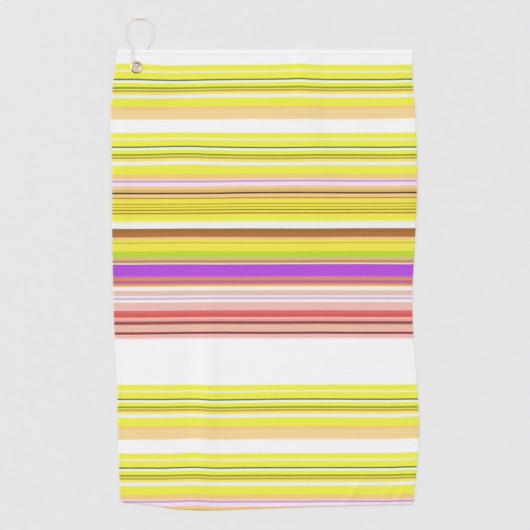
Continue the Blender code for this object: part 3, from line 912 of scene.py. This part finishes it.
def makeGrommet():
    bore, wall, rim = grommet["hole"] / 2, grommet["wall"], flangeRadius
    crown = bore + (rim - bore) * grommet["crownShare"]
    throat = flangeBottom - grommet["throatDrop"]
    roll = barrelRadius + grommet["rollReach"]
    rollRadius = grommet["rollRadius"]
    profile = [
        *arc((crown, throat), (crown - bore, flangeTop - throat), 180, 90, 14),
        *arc((crown, flangeBottom), (rim - crown, flangeTop - flangeBottom), 88, 4, 16),
        *arc((rim - wall / 2, flangeBottom - 0.02 * mm), (wall / 2, wall / 2), 0, -180, 8),
        *arc((crown, flangeBottom), (rim - crown - wall, flangeTop - flangeBottom - wall),
             4, 88, 12),
        *arc((crown, throat), (crown - bore - wall, flangeTop - throat - wall), 92, 180, 10),
        (barrelRadius, rollBottom + wall + rollRadius),
        *arc((barrelRadius + rollRadius, rollBottom + wall + rollRadius),
             (rollRadius, rollRadius), 190, 268, 6),
        (roll - 0.1 * mm, rollBottom + wall),
        *arc((roll - wall / 2, rollBottom + wall / 2), (wall / 2, wall / 2), 80, -80, 6),
        *arc((barrelRadius + rollRadius, rollBottom + rollRadius + wall),
             (rollRadius + wall, rollRadius + wall), 268, 182, 8),
    ]
    place = (*grommetMiddle(), 0.0)
    eyelet = placeMesh(turnedMesh("grommet_ring", profile, facets["ring"], True), place)
    addPiece("grommet_ring", eyelet, "grommet_brass", "towel", ["grommet_eyelet"])

    inner, outer = barrelRadius + grommet["clearance"], grommet["washer"] / 2
    low, high = washerBottom, washerBottom + grommet["washerThickness"]
    edge = grommet["washerEdge"]
    ring = [
        (outer - edge, high), (outer, high - edge), (outer, low + edge), (outer - edge, low),
        (inner + edge, low), (inner, low + edge), (inner, high - edge), (inner + edge, high),
    ]
    washer = placeMesh(turnedMesh("backing_washer", ring, facets["ring"], True), place)
    addPiece("backing_washer", washer, "washer_brass", "towel", ["grommet_washer"])


makeGrommet()
print("grommet made")


def loopRadius():
    # of the loop's long bend, which the length of free chain and the neck set
    bend, lean = chain["shoulderBend"], chain["neckLean"]
    free = clasp["seat"] + chain["freePitches"] * chain["pitch"] - claspHalf
    free -= chain["shoulderRadius"] * bend
    shoulder = claspHalf + chain["shoulderRadius"] * math.sin(bend)
    longBend = math.pi / 2 + lean - bend
    return (chain["neckHalfWidth"] - shoulder + free * math.sin(lean)) / (
        math.cos(lean) - math.sin(bend) + longBend * math.sin(lean))


def freeSide(distance):
    # straight through the clasp, round a tight bend and a wide one, then straight down to the neck
    x, y, heading = min(distance, claspHalf), 0.0, 0.0
    left = distance - claspHalf
    longBend = math.pi / 2 + chain["neckLean"] - chain["shoulderBend"]
    bends = ((chain["shoulderRadius"], chain["shoulderBend"]), (loopRadius(), longBend))
    for radius, bend in bends:
        if left > 0:
            angle = min(left / radius, bend)
            x += radius * (math.sin(heading + angle) - math.sin(heading))
            y += radius * (math.cos(heading + angle) - math.cos(heading))
            heading += angle
            left -= radius * bend
    if left > 0:
        x -= left * math.sin(chain["neckLean"])
        y -= left * math.cos(chain["neckLean"])
    return x, y


def loopTop():
    _, drop = freeSide(clasp["seat"] + chain["freePitches"] * chain["pitch"])
    return grommetMiddle()[0] + chain["loopOffset"], chain["neckClearance"] - drop


def freeBalls(side):
    topX, topY = loopTop()
    centres = []
    for index in range(chain["freePitches"] + 1):
        distance = clasp["seat"] + index * chain["pitch"]
        x, y = freeSide(distance)
        fall = (distance - claspHalf) / (chain["settlingPitches"] * chain["pitch"])
        height = claspRadius + (ballRadius - claspRadius) * float(smoothStep(fall))
        centres.append(Vector((topX + side * x, topY + y, height)))
    return centres


def heldRoute(leftNeck, rightNeck):
    # over the towel's edge, along its face, over the flange, down the hole and back underneath
    middleX, middleY = grommetMiddle()
    edge, rim = -middleY, flangeRadius
    throat = grommet["hole"] / 2 - ballRadius - gap
    strand = -chain["strandOffset"]
    lead, trail = leftNeck.x - middleX - strand, rightNeck.x - middleX
    route = [
        (strand + lead * 0.50, edge + 5.6 * mm, ballRadius + 1.4 * mm),
        (strand + lead * 0.18, edge + 2.6 * mm, clothTop - 0.4 * mm),
        (strand, edge - 0.6 * mm, frontStrand - 0.5 * mm),
        (strand, edge - 4.0 * mm, frontStrand),
        (strand, edge * 0.55, frontStrand),
        (strand, rim * 0.9, frontStrand),
        (strand * 0.9, rim * 0.42, frontStrand),
        (-throat * 0.92, throat * 0.36, frontStrand - 0.8 * mm),
        (0.0, throat * 0.06, (frontStrand + ballRadius) / 2),
        (throat * 0.84, throat * 0.32, ballRadius + 0.7 * mm),
        (rim * 0.60, rim * 0.50, ballRadius),
        (trail * 0.46, edge * 0.46, ballRadius),
        (trail * 0.68, edge * 0.82, ballRadius),
        (trail * 0.87, edge + 2.9 * mm, ballRadius),
    ]
    return [leftNeck, *[Vector((middleX + x, middleY + y, z)) for x, y, z in route], rightNeck]


def smoothPath(points, steps=24):
    ends = [points[0] * 2 - points[1], *points, points[-1] * 2 - points[-2]]
    path = []
    for a, b, c, d in zip(ends, ends[1:], ends[2:], ends[3:]):
        for step in range(steps):
            t = step / steps
            path.append(0.5 * (2 * b + (c - a) * t + (2 * a - 5 * b + 4 * c - d) * t**2
                               + (3 * b - a - 3 * c + d) * t**3))
    return [*path, points[-1]]


def evenPoints(path, pitch):
    lengths = [0.0]
    for a, b in zip(path, path[1:]):
        lengths.append(lengths[-1] + (b - a).length)
    count = math.ceil(lengths[-1] / pitch)
    wanted = [lengths[-1] * i / count for i in range(1, count)]
    return [Vector([np.interp(at, lengths, [point[k] for point in path]) for k in range(3)])
            for at in wanted]


def chainCentres():
    left, right = freeBalls(-1), freeBalls(1)
    held = evenPoints(smoothPath(heldRoute(left[-1], right[-1])), chain["pitch"])
    for centre in held:
        centre.z = max(centre.z, ballRadius)
    return left + held + right[::-1]


def ballMesh(name):
    # a hollow bead: round outside, with a small turned-in hole at both ends
    hole = chain["pinHole"] / 2
    start = math.degrees(math.asin(hole / ballRadius))
    side = arc((0, 0), (ballRadius, ballRadius), 90 - start, -90 + start, 15)
    lip = ballRadius * math.cos(math.radians(start))
    floor = lip - chain["pinSeat"]
    wide = hole * 1.1
    inward = [(hole * 0.96, lip - 0.06 * mm), (wide, lip - 0.2 * mm), (wide, floor), (0, floor)]
    profile = [*reversed(inward), *side, *[(radius, -height) for radius, height in inward]]
    return turnedMesh(name, profile, facets["ball"], False)


def pinMesh(name, length):
    # a pin between two balls; its headed ends are inside them
    radius = chain["pin"] / 2
    half = length / 2
    profile = [(0, half), (radius * 0.8, half), (radius, half - 0.1 * mm), (radius * 0.92, 0),
               (radius, -half + 0.1 * mm), (radius * 0.8, -half), (0, -half)]
    return turnedMesh(name, profile, facets["pin"], False)


bodies = frame["record"]["behaviour"]["bodies"]
bodyOfNode = {node: body for body, nodes in bodies.items() for node in nodes}


def makeChain():
    centres = chainCentres()
    for index, centre in enumerate(centres):
        before = centres[max(index - 1, 0)]
        after = centres[min(index + 1, len(centres) - 1)]
        name, pin = f"ball_{index + 1:02d}", f"pin_{index + 1:02d}"
        node = f"chain_{name}"
        body = bodyOfNode[node]
        mesh = placeMesh(ballMesh(name), centre, after - before)
        addPiece(name, mesh, "chain_brass", body, [node])
        if after is not centre:
            link = after - centre
            length = link.length - chain["ball"] + chain["pinInside"]
            mesh = placeMesh(pinMesh(pin, length), (centre + after) / 2, link)
            addPiece(pin, mesh, "pin_brass", body)
    return centres


ballCentres = makeChain()
print("chain made:", len(ballCentres), "balls")


def boxCutter(name, place, size):
    mesh = bpy.data.meshes.new(name)
    shape = bmesh.new()
    bmesh.ops.create_cube(shape, size=1.0)
    bmesh.ops.scale(shape, vec=size, verts=shape.verts)
    shape.to_mesh(mesh)
    shape.free()
    mesh.transform(Matrix.Translation(Vector(place) + shift))
    return addObject(name, mesh)


def makeClasp():
    # a slotted tube with rounded ends over the two end balls
    topX, topY = loopTop()
    place = Vector((topX, topY, claspRadius))
    wall, soft = clasp["wall"], clasp["rounding"]
    inner = claspHalf - wall
    outside = [(0, claspHalf), *arc((claspRadius - soft, claspHalf - soft), (soft, soft), 90, 0, 7)]
    half = soft / 2
    inside = [*arc((claspBore - half, inner - half), (half, half), 0, 90, 5), (0, inner)]
    outside += [(r, -z) for r, z in reversed(outside)]
    sides = facets["clasp"]
    tube = placeMesh(turnedMesh("clasp_tube", outside, sides, False), place, (1, 0, 0))
    hollow = [*reversed(inside), *[(r, -z) for r, z in inside]]
    bore = placeMesh(turnedMesh("clasp_bore", hollow, sides, False), place, (1, 0, 0))
    depth = 2 * claspRadius
    slotWidth = chain["ball"] + 2 * clasp["slotClearance"]
    cutters = [
        addObject("clasp_bore", bore),
        boxCutter("clasp_slot", place - Vector((0, 0, depth / 2)), (2 * inner, slotWidth, depth)),
        boxCutter("clasp_notch", place - Vector((0, 0, (depth - clasp["notch"]) / 2)),
                  (3 * claspHalf, clasp["notch"], depth)),
    ]
    body = bodyOfNode["chain_clasp"]
    piece = addPiece("clasp", tube, "clasp_brass", body, ["chain_clasp"])
    for cutter in cutters:
        cut = piece.modifiers.new(cutter.name, "BOOLEAN")
        cut.operation, cut.solver, cut.object = "DIFFERENCE", "EXACT", cutter
    bevel = piece.modifiers.new("soft edges", "BEVEL")
    bevel.width, bevel.segments, bevel.limit_method = clasp["bevel"], 2, "ANGLE"
    bevel.angle_limit = math.radians(40)
    bake(piece)
    for cutter in cutters:
        bpy.data.objects.remove(cutter)
    for face in piece.data.polygons:
        face.use_smooth = True
    piece.data.set_sharp_from_angle(angle=math.radians(35))
    return piece


makeClasp()
print("clasp made")


studio = {
    "floorSize": 14.0,
    "floorDrop": 0.15 * mm,
    "worldStrength": 1.030,
    "dimSide": (-0.30, -0.74, 0.60),    # where the sky is dim, which shows in the brass
    "dimReach": (0.67, 0.87),           # cosines at which the dimming starts and is full
    "dimSky": (0.06, 0.05, 0.05, 1.0),
    "keyPower": 362.0,
    "keyPlace": (-6.6, 2.7, 6.3),
    "keySize": 6.4,
    "cameraHeight": 4.0,
    "framedWidth": 0.7054,
    "cameraPlace": (0.0, -2.53 * mm),
    "sensor": 36.0,
}


def makeStudio():
    half = studio["floorSize"] / 2
    corners = [(-half, -half, 0), (half, -half, 0), (half, half, 0), (-half, half, 0)]
    mesh = bpy.data.meshes.new("floor")
    mesh.from_pydata(corners, [], [(0, 1, 2, 3)])
    mesh.materials.append(finishes["floor"])
    floor = addObject("floor", mesh)
    floor.location.z = -studio["floorDrop"]

    scene = bpy.context.scene
    world = bpy.data.worlds.new("studio")
    scene.world = world
    world.use_nodes = True
    sky = Shading(world.node_tree)
    dim = sky.node("ShaderNodeTexCoord").dot(studio["dimSide"]).steps(*studio["dimReach"])
    background = world.node_tree.nodes["Background"]
    sky.feed(background.inputs["Color"], sky.mix(dim, (1.0, 1.0, 1.0, 1.0), studio["dimSky"]))
    sky.feed(background.inputs["Strength"], studio["worldStrength"])

    lamp = bpy.data.lights.new("key", "AREA")
    lamp.energy = studio["keyPower"]
    lamp.shape = "SQUARE"
    lamp.size = studio["keySize"]
    key = addObject("key", lamp)
    key.location = studio["keyPlace"]
    key.rotation_euler = (-Vector(studio["keyPlace"])).to_track_quat("-Z", "Y").to_euler()

    lens = bpy.data.cameras.new("camera")
    lens.sensor_width = studio["sensor"]
    lens.lens = studio["sensor"] * studio["cameraHeight"] / studio["framedWidth"]
    lens.clip_end = 100
    camera = addObject("camera", lens)
    camera.location = (*studio["cameraPlace"], studio["cameraHeight"])
    scene.camera = camera
    scene.view_settings.view_transform = "Standard"


makeStudio()
print("studio ready")
